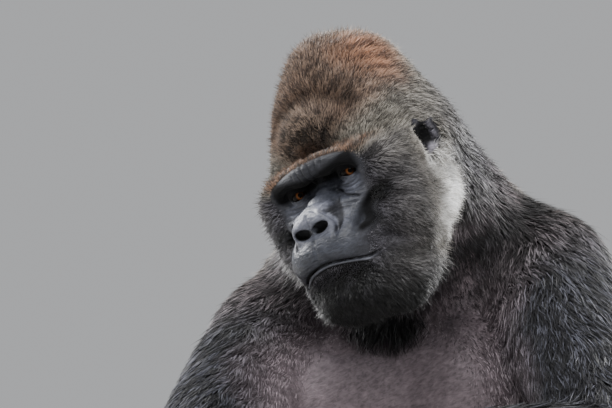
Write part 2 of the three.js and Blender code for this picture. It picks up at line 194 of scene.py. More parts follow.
def ear_mass(q):
    e = in_ear(q)
    d = egg(e, (0, 0, 0), (9, 18, 27))
    d = -melt(-d, egg(e, (8, -2, 2), (9, 12.5, 21)), 2)
    d = -melt(-d, egg(e, (3, -6, -2), (7, 7, 9)), 2)  # ear hole
    d = melt(d, limb(e, (3, 6, 15), (3, 6, -6), (2.6, 3)), 2.5)  # inner fold
    d = melt(d, limb(e, (2, 6, 4), (1, -4, 10), (2.2, 1.8)), 2)  # its branch
    d = melt(d, egg(e, (3, -14, -6), (4, 4.5, 7)), 3)  # flap over the ear hole
    return melt(d, egg(e, (0, -5, -22), (6, 9, 7)), 3)  # lobe


# No hair grows in the ear's cup or just before it.
def ear_room(q):
    return egg(in_ear(q), (0, -5, 1), (9, 19, 24))


# Joints of the skeleton, as the pose holds them
NECK = (15, 20, 740)
HIP = np.array([105, -70, 150])
LEFT = dict(side=1, shoulder=(188, -32, 744), elbow=(262, -385, 534), wrist=(-44, -393, 540),
            knee=(240, -335, 368), ankle=(215, -398, 80), thumb=-1, curl=20,
            palm=((-0.86, -0.40, 0.33), (0.30, 0.18, 0.93)), sole=(0.14, -0.99, 0))
RIGHT = dict(side=-1, shoulder=(-138, -42, 660), elbow=(-264, -390, 490), wrist=(55, -582, 417),
             knee=(-250, -335, 332), ankle=(-225, -392, 80), thumb=1, curl=16,
             palm=((0.74, 0.66, -0.12), (0.40, -0.62, 0.68)), sole=(-0.16, -0.987, 0))


def trunk_mass(p):
    d = egg(p, (5, 25, 575), (200, 185, 225))  # rib cage
    d = melt(d, egg(p, (0, -55, 345), (225, 210, 215)), 60)  # belly
    d = melt(d, egg(p, (0, 0, 170), (195, 160, 180)), 60)  # rump
    d = melt(d, egg(p, (85, -122, 610), (90, 65, 85)), 36)  # left breast
    d = melt(d, egg(p, (-72, -122, 600), (85, 65, 80)), 36)  # right breast
    d = melt(d, egg(p, (5, 55, 690), (165, 120, 125)), 50)  # shoulder hump
    d = melt(d, egg(p, (98, 150, 650), (60, 44, 88)), 40)  # left shoulder blade
    d = melt(d, egg(p, (-88, 150, 605), (60, 44, 88)), 40)  # right shoulder blade
    d = melt(d, limb(p, (95, 75, 560), (168, -8, 690), (60, 78)), 50)  # left flank to arm
    return melt(d, limb(p, (-80, 75, 510), (-132, -20, 610), (60, 74)), 50)


def neck_mass(p):
    d = limb(p, NECK, from_head((0, 60, 0)), (120, 84))
    d = melt(d, limb(p, from_head((15, 60, 60)), (132, 12, 758), (50, 80)), 45)
    d = melt(d, limb(p, from_head((-15, 60, 40)), (-90, 0, 680), (48, 64)), 45)
    d = melt(d, limb(p, (40, 15, 750), LEFT["shoulder"], (85, 76)), 45)
    return melt(d, limb(p, (-15, 0, 720), RIGHT["shoulder"], (85, 74)), 45)


def upper_arm_mass(p, body):
    return limb(p, body["shoulder"], body["elbow"], (76, 77, 68, 58, 54))


def forearm_mass(p, body):
    return limb(p, body["elbow"], body["wrist"], (54, 62, 55, 44, 35))


def thigh_mass(p, body):
    return limb(p, HIP * (body["side"], 1, 1), body["knee"], (125, 118, 98, 82, 70))


def shank_mass(p, body):
    return limb(p, body["knee"], body["ankle"], (68, 70, 60, 46, 42))


# A hand or foot has a frame too: x along it, y across it to its inner side, z up out of its back.
def limb_frame(origin, along, up, inner):
    a = np.array(along) / np.linalg.norm(along)
    c = np.cross(up, a)
    c = c / np.linalg.norm(c) * inner
    return np.array(origin, float), np.array([a, c, np.cross(c, a) * -inner])


def in_frame(p, origin_and_axes):
    origin, axes = origin_and_axes
    return (p - origin) @ axes.T


def digit(start, bones, spread, bend, curl):
    points = [np.array(start, float)]
    for bone in bones:
        b, s = math.radians(bend), math.radians(spread)
        step = (math.cos(b) * math.cos(s), math.cos(b) * math.sin(s), -math.sin(b))
        points.append(points[-1] + bone * np.array(step))
        bend += curl
    return points


def digit_mass(h, points, radii):
    parts = [limb(h, points[i], points[i + 1], radii[i:i + 2]) for i in range(len(points) - 1)]
    return np.minimum.reduce(parts)


def hand_frame(body):
    return limb_frame(body["wrist"], *body["palm"], body["thumb"])


def fingers(body):
    rows = []
    for i, scale in enumerate((0.96, 1.02, 1, 0.9)):
        off = (1.5 - i) / 3
        start = (92 - 14 * abs(off + 0.08), 76 * off, 0)
        bones = [46 * scale, 34 * scale, 26 * scale]
        radii = [15.5 * scale, 14.5 * scale, 13 * scale, 10 * scale]
        rows.append((digit(start, bones, 7 * off, 10, body["curl"]), radii))
    rows.append((digit((40, 42, -10), (38, 30), 32, 12, 14), [18, 15, 11]))
    return rows


def hand_mass(p, body):
    h = in_frame(p, hand_frame(body))
    d = limb(h, (-10, 0, 0), (20, 0, 0), (33, 34))
    d = melt(d, limb(h, (30, 24, -1), (88, 26, -2), (24, 21)), 16)
    d = melt(d, limb(h, (30, -24, -1), (82, -32, -2), (24, 19)), 16)
    d = melt(d, limb(h, (34, 0, 3), (92, -2, 2), (24, 22)), 14)
    d = melt(d, limb(h, (12, 24, -6), (48, 44, -12), (24, 19)), 14)
    for points, radii in fingers(body):
        d = melt(d, digit_mass(h, points, radii), 5)
    return d


def foot_frame(body):
    origin = (body["ankle"][0], body["ankle"][1], 0)
    return limb_frame(origin, body["sole"], (0, 0, 1), -body["side"])


def toes():
    rows = []
    for i, scale in enumerate((1.05, 1.05, 0.98, 0.88)):
        off = (1.5 - i) / 3
        start = (118 - 12 * abs(off - 0.1) - 4 * i, 74 * off - 3, 16)
        bones = [26 * scale, 20 * scale, 16 * scale]
        radii = [13.5 * scale, 13 * scale, 12.5 * scale, 10 * scale]
        rows.append((digit(start, bones, 5 * off, 2, 10), radii))
    rows.append((digit((52, 46, 20), (38, 30), 36, 2, 4), [21, 18, 14]))
    return rows


def foot_mass(p, body):
    h = in_frame(p, foot_frame(body))
    d = limb(h, (0, 0, 84), (22, 0, 50), (43, 40))  # ankle
    d = melt(d, egg(h, (-30, 0, 36), (38, 46, 40)), 20)  # heel
    d = melt(d, limb(h, (20, 2, 46), (100, 0, 22), (40, 30)), 20)  # instep
    d = melt(d, limb(h, (20, -22, 22), (112, -28, 17), (26, 20)), 16)  # outer edge
    d = melt(d, limb(h, (40, 18, 24), (112, 22, 19), (26, 21)), 16)  # ball
    d = melt(d, limb(h, (24, 26, 24), (60, 50, 20), (26, 21)), 14)  # root of the big toe
    for points, radii in toes():
        d = melt(d, digit_mass(h, points, radii), 5)
    return d


def head_near(q):
    return nearby(q, (0, -20, 10), 230, head_mass)


def hand_near(p, body):
    return nearby(p, body["wrist"], 290, lambda close: hand_mass(close, body))


def foot_near(p, body):
    return nearby(p, body["ankle"], 270, lambda close: foot_mass(close, body))


SKIN_OFF_FLOOR = 3
FOREARM_COAT = 17  # room for the right forearm's coat under the left hand


def skin_mass(p):
    d = melt(trunk_mass(p), neck_mass(p), 40)
    for body in (LEFT, RIGHT):
        arm = melt(upper_arm_mass(p, body), forearm_mass(p, body), 18)
        leg = melt(thigh_mass(p, body), shank_mass(p, body), 25)
        d = melt(melt(d, arm, 24), leg, 30)
    for body in (LEFT, RIGHT):
        hand = hand_near(p, body)
        if body is LEFT:
            hand = np.maximum(hand, FOREARM_COAT - forearm_mass(p, RIGHT))
        d = melt(melt(d, hand, 12), foot_near(p, body), 14)
    q = to_head(p)
    d = melt(d, head_near(q), 25)
    d = melt(d, nearby(q, (0, 4, 6), 190, ear_mass), 4)
    return np.maximum(d, SKIN_OFF_FLOOR - p[:, 2])


def in_turns(mass, p, share=200000):
    return np.concatenate([mass(p[i:i + share]) for i in range(0, len(p), share)])


def outward(p, d, reach=0.4):
    """Unit vectors out of the skin at p, and how fast the distance grows along them."""
    slope = [in_turns(skin_mass, p + np.float32(reach) * np.float32(axis)) - d for axis in np.eye(3)]
    slope = np.stack(slope, 1) / reach
    rate = length(slope)[:, None] + 1e-6
    return slope / rate, rate[:, 0]


def laid_on_skin(p, times):
    for _ in range(times):
        d = in_turns(skin_mass, p)
        way, rate = outward(p, d)
        p = p - way * np.clip(d / np.maximum(rate, 0.4), -4, 4)[:, None]
    return p


# The net starts with one cell size all over.
CELL = 10.0
low = np.array(cad_box[0]) / MM - 2 * CELL
cells = np.ceil((np.array(cad_box[1]) / MM + 2 * CELL - low) / CELL).astype(int)
lattice = np.stack(np.meshgrid(*[np.arange(n) for n in cells], indexing="ij"), -1).reshape(-1, 3)
distances = in_turns(skin_mass, (low + CELL * lattice).astype(np.float32))
net = openvdb.FloatGrid()
net.copyFromArray(distances.reshape(cells).astype(np.float32))
corners, _, quads = net.convertToPolygons(isovalue=0.0)
corners = laid_on_skin((low + CELL * corners).astype(np.float32), 2)


def put_in_scene(name, data):
    thing = bpy.data.objects.new(name, data)
    bpy.context.collection.objects.link(thing)
    return thing


skin_mesh = bpy.data.meshes.new("skin")
skin_mesh.from_pydata(corners.tolist(), [], quads.tolist())
skin = put_in_scene("skin", skin_mesh)
bpy.ops.object.select_all(action="DESELECT")
skin.select_set(True)
bpy.context.view_layer.objects.active = skin


def read(items, name, width, kind=np.float32):
    values = np.empty(width * len(items), kind)
    items.foreach_get(name, values)
    return values.reshape(-1, width)


def places(mesh):
    return read(mesh.vertices, "co", 3)


def set_places(mesh, p):
    mesh.vertices.foreach_set("co", (p * MM).astype(np.float32).ravel())


BODY_EDGE = 9.0
HAND_EDGE = 4.6  # also of the feet
EDGE_GROWTH = 0.16  # for each millimetre away from a fine spot
# Spots where the net is finer: centre, radius and edge length, in the head's frame
FINE_ON_HEAD = (
    ((EYE[0], -105, 12), 24, 1.1), ((-EYE[0], -105, 12), 24, 1.1),
    ((0, -155, -30), 42, 1.15), ((0, -114, 0), 56, 1.25), ((0, -100, 46), 34, 1.6),
    ((0, -168, -72), 20, 1.1), ((26, -164, -76), 20, 1.1), ((-26, -164, -76), 20, 1.1),
    ((48, -146, -87), 16, 1.2), ((-48, -146, -87), 16, 1.2),
    ((0, -110, -20), 80, 2.4),
    ((103, 2, 4), 30, 1.7), ((-103, 2, 4), 30, 1.7),
)


def wanted_edge(p):
    q = to_head(p)
    edge = np.full(len(p), BODY_EDGE)
    for centre, radius, size in FINE_ON_HEAD:
        away = length(q - np.float32(centre)) - radius
        edge = np.minimum(edge, size + EDGE_GROWTH * np.maximum(away, 0))
    for body in (LEFT, RIGHT):
        for (origin, axes), middle in ((hand_frame(body), 90), (foot_frame(body), 80)):
            centre = origin + middle * axes[0]
            away = length(p - np.float32(centre)) - 100
            edge = np.minimum(edge, HAND_EDGE + EDGE_GROWTH * np.maximum(away, 0))
    return edge


for _ in range(4):
    p = places(skin_mesh)
    ends = read(skin_mesh.edges, "vertices", 2, np.int32)
    first, second = p[ends[:, 0]], p[ends[:, 1]]
    long = length(first - second) > 1.5 * wanted_edge((first + second) / 2)
    bpy.ops.object.mode_set(mode="EDIT")
    bpy.ops.mesh.select_mode(type="EDGE")
    bpy.ops.mesh.select_all(action="DESELECT")
    bpy.ops.object.mode_set(mode="OBJECT")
    skin_mesh.edges.foreach_set("select", long)
    bpy.ops.object.mode_set(mode="EDIT")
    bpy.ops.mesh.subdivide(number_cuts=1)
    bpy.ops.mesh.select_all(action="SELECT")
    bpy.ops.mesh.quads_convert_to_tris()
    bpy.ops.mesh.vertices_smooth(factor=0.5)
    bpy.ops.object.mode_set(mode="OBJECT")
    p = laid_on_skin(places(skin_mesh), 2)
    skin_mesh.vertices.foreach_set("co", p.ravel())

# Folds of the face, as lines on its front: out from the middle, up, then depth and width
NOSE_WING = ((23, -10), (28, -14), (32.5, -21), (34.5, -29), (34, -37), (29, -44))
UNDER_EYE = ((13, 1), (23, -5), (34, -9), (47, -14), (58, -20))
CHEEK_HOLLOW = ((74, -25), (65, -26), (59, -32), (56, -39), (58, -49))
LID_WRINKLES = (
    ((22, 2), (32, -1), (44, -1), (56, 3)),
    ((25, -1), (36, -4), (48, -5), (60, -1)),
    ((28, -5), (40, -8), (52, -10), (64, -8)),
    ((18, -9), (28, -15), (42, -19), (56, -24)),
    ((24, -14), (34, -20), (48, -26)),
)
FOLDS = (
    (NOSE_WING, 5.5, 2.4),
    (UNDER_EYE, 3.0, 1.1),
    (CHEEK_HOLLOW, 8.0, 5.5),
    (((0, -42), (0, -64)), 1.4, 2.4),  # under the nose
    (((0, -10), (0, -38)), 1.8, 2.6),  # tip of the nose
    (((0, 6), (11, 4), (21, -1)), 1.8, 1.2),  # across the root
    (((0, 1), (10, -1), (20, -7)), 1.8, 1.1),
    (((0, -4), (9, -6), (18, -12)), 1.2, 1.1),
    *((line, 1.3, 1.0) for line in LID_WRINKLES),
    (((44, -48), (54, -60), (58, -76)), 1.4, 3.0),  # down to the mouth
    (((22, 17), (32, 22), (44, 22), (56, 15)), 2.4, 1.3),  # upper lid
    (((24, 24), (40, 27), (58, 22)), 1.4, 1.4),  # under the brow
    (((4, 20), (6, 46)), 3.2, 1.8),  # between the brows
    (((12, 24), (16, 45)), 2.6, 1.7),
    (((21, 30), (25, 44)), 1.6, 1.6),
    (((3, 46), (4, 76)), 5.0, 2.8),  # frown, under the hair
    (((12, 48), (17, 76)), 5.0, 2.8),
    (((23, 48), (32, 70)), 3.8, 2.8),
    (((0, 50), (20, 52), (44, 48)), 2.4, 3.2),
    (((0, 108), (20, 103), (40, 93), (56, 80), (70, 62)), 9.0, 7.5),  # forehead to crown
    (((30, -93), (44, -92), (54, -99)), 1.2, 2.2),  # below the mouth corner
)


def line_distance(flat, line):
    """Distance of flat points to a line of straight runs."""
    best = np.full(len(flat), 1e9)
    for a, b in zip(line[:-1], line[1:]):
        a, b = np.array(a, float), np.array(b, float)
        t = ramp((flat - a) @ (b - a) / ((b - a) @ (b - a)))
        best = np.minimum(best, np.hypot(*(flat - a - t[:, None] * (b - a)).T))
    return best


def fading(flat, line, reach=7.0):
    """0 at the ends of a line, 1 from some way in, but no fading where it crosses the middle."""
    start, end = np.array(line[0], float), np.array(line[-1], float)
    fade = ramp(np.hypot(*(flat - end).T) / reach)
    return fade if start[0] == 0 else fade * ramp(np.hypot(*(flat - start).T) / reach)


def on_front(q):
    """Distance from the middle line and height of places on the head."""
    return np.stack([np.abs(q[:, 0]), q[:, 2]], 1).astype(float)


def rounded(line):
    """The same line through points rounded off between the first and the last."""
    line = np.array(line, float)
    for _ in range(2):
        inner = np.stack([0.75 * line[:-1] + 0.25 * line[1:], 0.25 * line[:-1] + 0.75 * line[1:]], 1)
        line = np.concatenate([line[:1], inner.reshape(-1, 2)[1:-1], line[-1:]])
    return line


p = places(skin_mesh)
q = to_head(p)
front = ramp((-q[:, 1] - 60 + 42 * ramp((q[:, 2] - 60) / 45)) / 20)
flat = on_front(q)
depth = np.zeros(len(p))
for line, deep, wide in FOLDS:
    if len(line) > 2:
        line = rounded(line)
    crease = np.exp(-(line_distance(flat, line) / wide) ** 2)
    depth += deep * crease * fading(flat, line) * front
d = in_turns(skin_mass, p)
way, _ = outward(p, d)
p = p - way * depth[:, None]
set_places(skin_mesh, p)
bpy.ops.object.shade_smooth()

# Where the hide is bare. The face's edge is a line on its front: height and half width. The chest's
# is an egg on the trunk, given by its middle and radii, and so are those of collar and throat.
FACE_HALF_WIDTH = ((-100, 40), (-88, 57), (-78, 61), (-64, 65), (-52, 69), (-38, 71), (-10, 72),
                   (6, 72), (20, 73), (28, 70), (34, 62), (39, 48), (43, 28), (46, 0))
CHEST = ((-8, -215, 600), (155, 130, 155))
COLLAR = ((92, -130, 715), (42, 60, 84))
THROAT = ((-10, -165, 706), (56, 60, 36))


def inside_face(q):
    """How far inside the edge of the bare face a place is, less than 0 in the coat round it."""
    heights, widths = np.array(FACE_HALF_WIDTH).T
    inside = np.interp(q[:, 2], heights, widths) - np.abs(q[:, 0])
    below = above_mouth(mirrored(q)) + 14
    return np.minimum(np.minimum(inside, below), np.minimum(46 - q[:, 2], -q[:, 1] - 62))


# Below the lip the chin is bare too, but for short bristles.
def on_chin(q):
    below = -above_mouth(mirrored(q))
    across = ramp((58 - np.abs(q[:, 0])) / 14)
    return ramp(below / 3) * ramp((56 - below) / 50) * across * ramp((-q[:, 1] - 100) / 20)


def bare_share(p):
    """1 where the hide is bare, 0 under the full coat."""
    q = to_head(p)
    face = ramp(inside_face(q) / (20 - 13 * ramp((q[:, 2] - 8) / 20)) + 0.5)
    face = np.maximum(face, 0.88 * on_chin(q))
    chest = ramp(0.5 - egg(p, *CHEST) / 90)
    chest = np.maximum(chest, 0.85 * ramp(0.5 - egg(p, *COLLAR) / 60))
    chest *= ramp(0.4 + egg(p, *THROAT) / 24)
    ears = ramp(1.5 - nearby(q, (0, 4, 6), 150, ear_room) / 3)
    bare = np.maximum.reduce([face, 0.92 * chest, ears * ramp((np.abs(q[:, 0]) - 80) / 8)])
    for body in (LEFT, RIGHT):
        h = in_frame(p, hand_frame(body))
        palm = ramp((6 - h[:, 2]) / 14 + ramp((h[:, 0] - 86) / 30) * 3) * ramp((h[:, 0] - 4) / 22)
        bare = np.maximum(bare, palm * ramp(1 - hand_near(p, body) / 8))
        h = in_frame(p, foot_frame(body))
        sole = ramp((22 - h[:, 2]) / 10 + ramp((h[:, 0] - 96) / 26) * 3)
        bare = np.maximum(bare, sole * ramp(1 - foot_near(p, body) / 8))
    return bare


def linear(code):
    """An sRGB hex colour, as the shaders want it."""
    parts = [int(code[i:i + 2], 16) / 255 for i in (1, 3, 5)]
    return np.array([c / 12.92 if c <= 0.04045 else ((c + 0.055) / 1.055) ** 2.4 for c in parts])


# The parts of the body that the coat's lie, length and colour go by
def part_masses(p):
    masses = [head_near(to_head(p)), neck_mass(p), trunk_mass(p)]
    for body in (LEFT, RIGHT):
        masses += [mass(p, body) for mass in (upper_arm_mass, forearm_mass, hand_near,
                                              thigh_mass, shank_mass, foot_near)]
    return np.stack(masses, 1)


# Their places in the row: each side's limbs are upper arm, forearm, hand, thigh, shank and foot.
HEAD, NAPE, TRUNK = 0, 1, 2
LEFT_LIMBS, RIGHT_LIMBS = 3, 9


def shares(p, blend=18.0):
    masses = in_turns(part_masses, p)
    near = np.exp(-np.clip(masses - masses.min(1, keepdims=True), 0, 200) / blend)
    return near / near.sum(1, keepdims=True)


def blob(q, centre, radius, soft):
    return ramp((radius - length(q - np.float32(centre))) / soft + 0.5)


def along_lines(q, line, radius, soft):
    away = np.full(len(q), 1e9)
    for a, b in zip(line[:-1], line[1:]):
        away = np.minimum(away, limb(q, a, b, (0, 0)))
    return ramp((radius - away) / soft + 0.5)


RIM = ((92, -6, -30), (84, 12, -20), (89, 14, -42), (89, 4, -60), (87, -16, -76), (82, -36, -94))


def markings(p, near):
    """Dark colour, light colour and share of light hairs at each place."""
    q = to_head(p)
    m, flat = mirrored(q), on_front(q)
    x, y, z = m.T
    dark = np.tile(linear("#1b1a1d"), (len(p), 1))
    light = np.tile(linear("#66666e"), (len(p), 1))
    share = np.full(len(p), 0.22)

    def paint(where, dark_code, light_code, light_share):
        nonlocal dark, light, share
        where = ramp(where)[:, None]
        dark = dark + where * (linear(dark_code) - dark)
        light = light + where * (linear(light_code) - light)
        share = share + where[:, 0] * (light_share - share)

    back = ramp((p[:, 1] - 10) / 70)
    paint(near[:, TRUNK] * back * ramp((p[:, 2] - 60) / 60), "#505053", "#acacad", 0.55)  # silver saddle
    paint(near[:, TRUNK] * (1 - back), "#1c1a1c", "#57514f", 0.2)  # belly
    for first in (LEFT_LIMBS, RIGHT_LIMBS):
        paint(near[:, first], "#141418", "#4c4d57", 0.24)  # upper arm
        paint(near[:, first + 1], "#101013", "#3c3c44", 0.18)  # forearm
        paint(near[:, first + 3], "#1a191b", "#56545a", 0.24)  # thigh
    shoulders = blob(p, (110, 0, 790), 130, 90) + blob(p, (-110, 0, 700), 120, 90)
    paint(shoulders * (1 - near[:, HEAD]), "#241d1f", "#6b6061", 0.36)
    paint(near[:, NAPE] * ramp((p[:, 1] + 60) / 60), "#423f3a", "#9d978b", 0.5)
    front = np.maximum(ramp(0.8 - egg(p, *CHEST) / 60), ramp(0.8 - egg(p, *COLLAR) / 60))
    paint(front * (1 - near[:, HEAD]), "#554a4f", "#94878d", 0.45)  # chest and collar
    head = near[:, HEAD]
    paint(head, "#4d4943", "#8e897f", 0.5)  # grey cheek
    paint(head * ramp(y / 50), "#4a4640", "#a19b8f", 0.5)  # back of the head
    beside_face = ramp((-y - 50) / 30) * ramp((24 - z) / 30)
    paint(head * beside_face, "#3b3937", "#716e6b", 0.45)
    paint(head * ramp((inside_face(q) + 34) / 34) * ramp((30 - z) / 10), "#2a282d", "#57555c", 0.42)
    crown = ramp((z - 34 - 0.25 * x) / 26) * ramp((75 - y) / 50)
    paint(head * crown, "#43362f", "#806a5b", 0.5)
    paint(head * blob(q, (50, 30, 112), 40, 34), "#553828", "#a5775a", 0.55)
    paint(head * blob(q, (0, -85, 72), 40, 24), "#3b322d", "#8a786a", 0.5)  # forehead
    # Painted shade: the hair along the crease above the forehead bulge is darkened.
    fold = along_lines(m, ((0, -56, 108), (20, -58, 102), (40, -56, 93), (56, -50, 80)), 4, 9)
    paint(head * fold, "#120f0d", "#332a25", 0.2)  # crease above it
    # Painted shade: the hair over each frown furrow is darkened along the furrow.
    for top, bottom in (((3, 76), (4, 50)), ((14, 72), (12, 50)), ((27, 66), (22, 50))):
        frown = line_distance(flat, (bottom, top))
        paint(head * ramp((5 - frown) / 5) * ramp((-y - 50) / 20), "#0b0908", "#1f1b18", 0.15)
    brow = ramp((inside_face(q) + 17) / 6) * ramp((z - 26) / 8) * ramp((-y - 60) / 20)
    paint(head * brow, "#3f332b", "#795e4c", 0.5)  # edge of the brow
    # Painted shade: the hair in the hollow beside the nose wing, where the face meets the cheek fur, is
    # darkened nearly to black.
    hollow = line_distance(flat, CHEEK_HOLLOW)
    paint(head * ramp((13 - hollow) / 6) * ramp((-y - 40) / 20), "#060607", "#1d1d21", 0.12)
    # The ruff behind the cheek has paler hair, and it is painted near white besides, as a painted
    # highlight where the lamp behind him catches it.
    rim = along_lines(m, RIM, 21, 32) * ramp((z + 112) / 40)
    paint(rim * np.maximum(head, near[:, NAPE]), "#c4c1bb", "#ffffff", 0.9)  # pale ruff
    # Painted highlight: a pale streak on the hair along the head's edge in front of the ear, where the
    # lamps behind him catch it.
    rim = along_lines(m, ((96, -4, 44), (98, -22, 20), (100, -20, -10)), 5, 8)
    paint(head * rim * 0.7, "#77746f", "#e6e3dc", 0.7)
    chin = ramp((-z - 82) / 14) * ramp((70 - x) / 30) * ramp((-y - 50) / 30)
    paint(head * chin, "#060607", "#29282c", 0.14)
    # The throat under the jaw has black hair, and it is painted darker still as the shadow under the
    # chin.
    throat = ramp((-z - 116) / 18) * ramp((88 - x) / 24)
    throat = throat * np.maximum(head, near[:, NAPE])
    throat = np.maximum(throat, ramp(0.6 - egg(p, *THROAT) / 24))
    paint(throat, "#050506", "#232327", 0.08)
    return dark, light, share


def hide_colour(p, near):
    """Colour and gloss of the skin: the bare hide's own, with painted shade under the brow, in its
    creases, hollows, nostrils, mouth line and ear cups and a painted highlight on the lower lip, and the
    coat's roots where it is covered.
    """
    q = to_head(p)
    m, flat = mirrored(q), on_front(q)
    x, y, z = m.T
    dark = markings(p, near)[0]
    bare = np.tile(linear("#2d2d33"), (len(p), 1))

    def paint(where, code):
        nonlocal bare
        bare = bare + ramp(where)[:, None] * (linear(code) - bare)

    upper_arms = near[:, LEFT_LIMBS] + near[:, RIGHT_LIMBS]
    paint(near[:, TRUNK] + near[:, NAPE] + upper_arms, "#7f7378")
    head = near[:, HEAD]
    paint(head, "#32343b")
    paint(head * ramp((z - 10) / 16), "#26272c")  # brow
    paint(head * ramp((24 - inside_face(q)) / 26) * ramp((20 - z) / 20), "#29282c")  # face's edge
    paint(head * blob(m, (20, -158, -18), 25, 16), "#5c5e68")  # nose wings
    paint(head * blob(m, (42, -106, -4), 15, 9), "#4e5059")  # bags
    top = 29 + 0.22 * x
    shadow = ramp((top - z) / 7) * ramp((z - 6 - 0.004 * (x - 36) ** 2) / 5) * ramp((70 - x) / 10)
    paint(head * shadow, "#040406")  # under the brow
    # Painted shade in the cheek hollow beside the nose, nearly black.
    paint(head * ramp((9.5 - line_distance(flat, CHEEK_HOLLOW)) / 5), "#040405")
    face = head * ramp((-y - 80) / 10)
    # Painted shade in the grooves round the nose wing and under the eye.
    for crease, wide in ((NOSE_WING, 4.6), (UNDER_EYE, 2.4)):
        groove = ramp((wide - line_distance(flat, rounded(crease))) / 2)
        paint(0.9 * face * groove * fading(flat, crease), "#0e0e12")
    # Painted shade in the wrinkles below the eye.
    for crease in LID_WRINKLES:
        groove = ramp(1.6 - line_distance(flat, rounded(crease)))
        paint(0.5 * face * groove * fading(flat, crease), "#131318")
    # Painted shade inside the nostrils, nearly black.
    paint(head * ramp(1 - nostril(m) / 0.8), "#020203")
    mouth = above_mouth(m)
    paint(head * ramp((14 - mouth) / 26) * ramp(mouth / 2), "#292a2f")  # edge of the upper lip
    # Painted highlight: a pale rim along the lower lip; below it the chin is its own black.
    paint(head * ramp(-mouth / 1.2), "#63656e")  # lower lip
    paint(head * ramp((-mouth - 2.6) / 2.4), "#050506")  # and chin
    # Painted shade along the line between the lips, nearly black.
    paint(head * ramp(2.2 - abs(mouth - 0.4) / 1.1) * ramp((-y - 122) / 8), "#020203")
    ear = in_ear(q)
    paint(blob(ear, (0, 0, 0), 34, 8), "#2b2a30")
    # Painted shade in the ear's cup and hole, nearly black.
    paint(blob(ear, (5, -5, 2), 15, 6), "#070708")
    paint(along_lines(ear, ((3, 6, 15), (3, 6, -6)), 3.4, 3), "#5b5961")  # its inner fold
    paint(blob(ear, (2, -4, -22), 9, 5), "#7b7880")  # lobe
    covered = (1 - bare_share(p))[:, None]
    gloss = ramp((bare.mean(1) - 0.004) / 0.03) * (1 - covered[:, 0])
    return bare + covered * (0.6 * dark - bare), gloss


def colour_points(mesh, colours, gloss):
    layer = mesh.color_attributes.new("markings", "FLOAT_COLOR", "POINT")
    values = np.concatenate([colours, gloss[:, None]], 1)
    layer.data.foreach_set("color", values.astype(np.float32).ravel())


skin_places = places(skin_mesh) / MM
near_skin = shares(skin_places)
colour_points(skin_mesh, *hide_colour(skin_places, near_skin))

bpy.ops.object.mode_set(mode="EDIT")
bpy.ops.mesh.select_all(action="SELECT")
bpy.ops.uv.smart_project(angle_limit=math.radians(66), island_margin=0.002)
bpy.ops.object.mode_set(mode="OBJECT")
skin_mesh.uv_layers[0].name = "OFBake"


def feed(tree, node, inputs):
    """Gives each named input of a node a value or another node's output."""
    for name, value in inputs.items():
        if isinstance(value, bpy.types.NodeSocket):
            tree.links.new(value, node.inputs[name])
        else:
            node.inputs[name].default_value = value


def add(tree, kind, inputs=None, **settings):
    node = tree.nodes.new(kind)
    for name, value in settings.items():
        setattr(node, name, value)
    feed(tree, node, inputs or {})
    return node


def stretched(tree, value, start, end, low, high):
    """The value from start to end, spread from low to high."""
    node = add(tree, "ShaderNodeMapRange", {"Value": value, "From Min": start, "From Max": end,
                                            "To Min": low, "To Max": high})
    return node.outputs["Result"]


def product(tree, first, second):
    node = add(tree, "ShaderNodeMath", {0: first, 1: second}, operation="MULTIPLY")
    return node.outputs["Value"]


def scaled(tree, colour, factor):
    node = add(tree, "ShaderNodeVectorMath", {0: colour, "Scale": factor}, operation="SCALE")
    return node.outputs["Vector"]


def between(tree, factor, first, second):
    """A colour that goes from the first hex colour to the second."""
    node = add(tree, "ShaderNodeMix", {"Factor": factor}, data_type="RGBA")
    feed(tree, node, {"A": (*linear(first), 1), "B": (*linear(second), 1)})
    return node.outputs["Result"]


def new_material(name):
    material = bpy.data.materials.new(name)
    material.use_nodes = True
    tree = material.node_tree
    return material, tree, tree.nodes["Principled BSDF"]


# Ape hide: leathery, finely wrinkled, a little greasy, so it has soft highlights.
hide, tree, shader = new_material("gorilla_hide")
place = add(tree, "ShaderNodeTexCoord").outputs["Object"]
paint_layer = add(tree, "ShaderNodeVertexColor", layer_name="markings")
mottle = add(tree, "ShaderNodeTexNoise", {"Vector": place, "Scale": 1 / 0.012, "Detail": 4,
                                          "Roughness": 0.6})
light_and_dark = stretched(tree, mottle.outputs["Fac"], 0.3, 0.7, 0.75, 1.25)
# Fine wrinkles run across the face, so their pattern is turned with the head and drawn out.
turned = add(tree, "ShaderNodeMapping", {"Vector": place, "Scale": (2.6, 1.6, 0.8),
                                         "Rotation": Matrix(HEAD_TURN.tolist()).to_euler()},
             vector_type="TEXTURE")
wrinkles = add(tree, "ShaderNodeTexNoise", {"Vector": turned.outputs["Vector"], "Scale": 1 / 0.0035,
                                            "Detail": 3, "Roughness": 0.5, "Distortion": 0.6})
pores = add(tree, "ShaderNodeTexNoise", {"Vector": place, "Scale": 1 / 0.0012, "Detail": 2})
height = add(tree, "ShaderNodeMath", {0: pores.outputs["Fac"], 1: 0.25, 2: wrinkles.outputs["Fac"]},
             operation="MULTIPLY_ADD")
bump = add(tree, "ShaderNodeBump", {"Height": height.outputs["Value"], "Strength": 0.7,
                                    "Distance": 0.002})
# Dust and shade settle in the wrinkles, and the folds are dull where the open skin is greasy.
in_wrinkles = stretched(tree, wrinkles.outputs["Fac"], 0.35, 0.6, 0.72, 1.1)
feed(tree, shader, {
    "Base Color": scaled(tree, paint_layer.outputs["Color"], product(tree, light_and_dark, in_wrinkles)),
    "Roughness": stretched(tree, paint_layer.outputs["Alpha"], 0, 1, 1.0, 0.36),
    "Normal": bump.outputs["Normal"], "IOR": 1.45, "Specular IOR Level": 0.26})
skin_mesh.materials.append(hide)

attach(skin, "root")
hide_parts(*FLESH)

